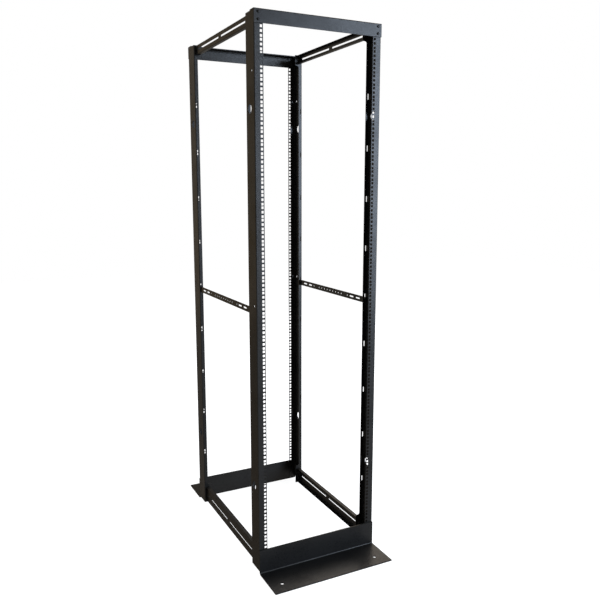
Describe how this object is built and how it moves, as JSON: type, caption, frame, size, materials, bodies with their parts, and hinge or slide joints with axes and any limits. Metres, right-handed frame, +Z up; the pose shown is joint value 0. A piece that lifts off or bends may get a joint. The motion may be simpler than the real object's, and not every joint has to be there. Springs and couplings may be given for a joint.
{
  "type": "four-post open frame rack",
  "caption": "Tall open frame of punched channel posts on floor angles, with slotted side rails and hooked lacing bars, that holds rack-mounted equipment.",
  "frame": {"origin": "on the floor, under the middle of the frame", "axes": "+Z up, front towards -Y, +X to the right as seen from the front"},
  "size_m": [0.5206, 1.0414, 2.1092],
  "materials": {
    "black_powder_coat": "matte black powder coat"
  },
  "bodies": {
    "root": {"front_left_post": "black_powder_coat", "front_right_post": "black_powder_coat", "rear_left_post": "black_powder_coat", "rear_right_post": "black_powder_coat", "front_top_angle": "black_powder_coat", "front_base_angle": "black_powder_coat", "rear_top_angle": "black_powder_coat", "rear_base_angle": "black_powder_coat", "left_top_rail": "black_powder_coat", "left_bottom_rail": "black_powder_coat", "left_lacing_bar": "black_powder_coat", "right_top_rail": "black_powder_coat", "right_bottom_rail": "black_powder_coat", "right_lacing_bar": "black_powder_coat"}
  },
  "joints": []
}
